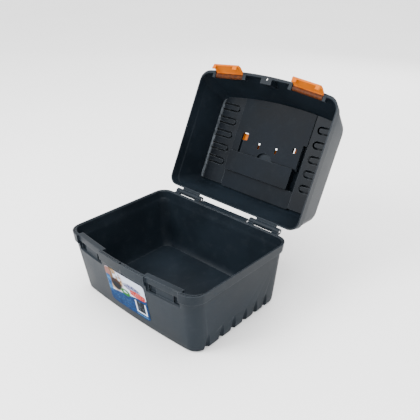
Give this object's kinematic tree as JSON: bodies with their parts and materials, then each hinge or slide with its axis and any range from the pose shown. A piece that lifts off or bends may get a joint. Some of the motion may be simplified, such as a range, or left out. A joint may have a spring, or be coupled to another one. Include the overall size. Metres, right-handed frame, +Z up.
{
  "type": "toolbox",
  "caption": "Plastic carpenter's toolbox with a deep tub, a domed lid on a rear hinge, a fold-down carry handle and orange draw latches",
  "frame": {"origin": "centre of the tub's flat underside", "axes": "+X to the box's right, -Y to its front, +Z up"},
  "size_m": [0.402, 0.5446, 0.4649],
  "materials": {
    "body_plastic": "fine moulded grain",
    "liner_plastic": "fine moulded grain",
    "orange_plastic": "smooth",
    "pin_steel": "plain wire",
    "label_film": "printed film"
  },
  "bodies": {
    "tub_body": {"tub": "body_plastic", "front_label": "label_film", "hinge_pin_left": "pin_steel", "hinge_pin_right": "pin_steel"},
    "lid_body": {"lid_shell": "body_plastic", "centre_panel": "liner_plastic", "lower_cover": "liner_plastic", "rear_panel": "liner_plastic", "bit_rack_left": "liner_plastic", "bit_rack_right": "liner_plastic", "handle_pin_left": "pin_steel", "handle_pin_right": "pin_steel", "latch_pin_left": "pin_steel", "latch_pin_right": "pin_steel"},
    "handle_body": {"carry_handle": "orange_plastic"},
    "latch_left_body": {"latch_left": "orange_plastic"},
    "latch_right_body": {"latch_right": "orange_plastic"}
  },
  "joints": [
    {"name": "lid_hinge", "type": "hinge", "parent": "tub_body", "child": "lid_body", "pos_m": [0, 0.1617, 0.154], "axis": [1, 0, 0], "range_deg": [0, 116]},
    {"name": "latch_left_pivot", "type": "hinge", "parent": "lid_body", "child": "latch_left_body", "pos_m": [-0.1145, 0.30477, 0.43046], "axis": [0.9952, 0.0428, 0.0877], "range_deg": [-55, 27]},
    {"name": "latch_right_pivot", "type": "hinge", "parent": "lid_body", "child": "latch_right_body", "pos_m": [0.1145, 0.30477, 0.43046], "axis": [0.9952, -0.0428, -0.0877], "range_deg": [-55, 27]},
    {"name": "handle_pivot", "type": "hinge", "parent": "lid_body", "child": "handle_body", "pos_m": [0, 0.34064, 0.27589], "axis": [1, 0, 0], "range_deg": [0, 90]}
  ]
}
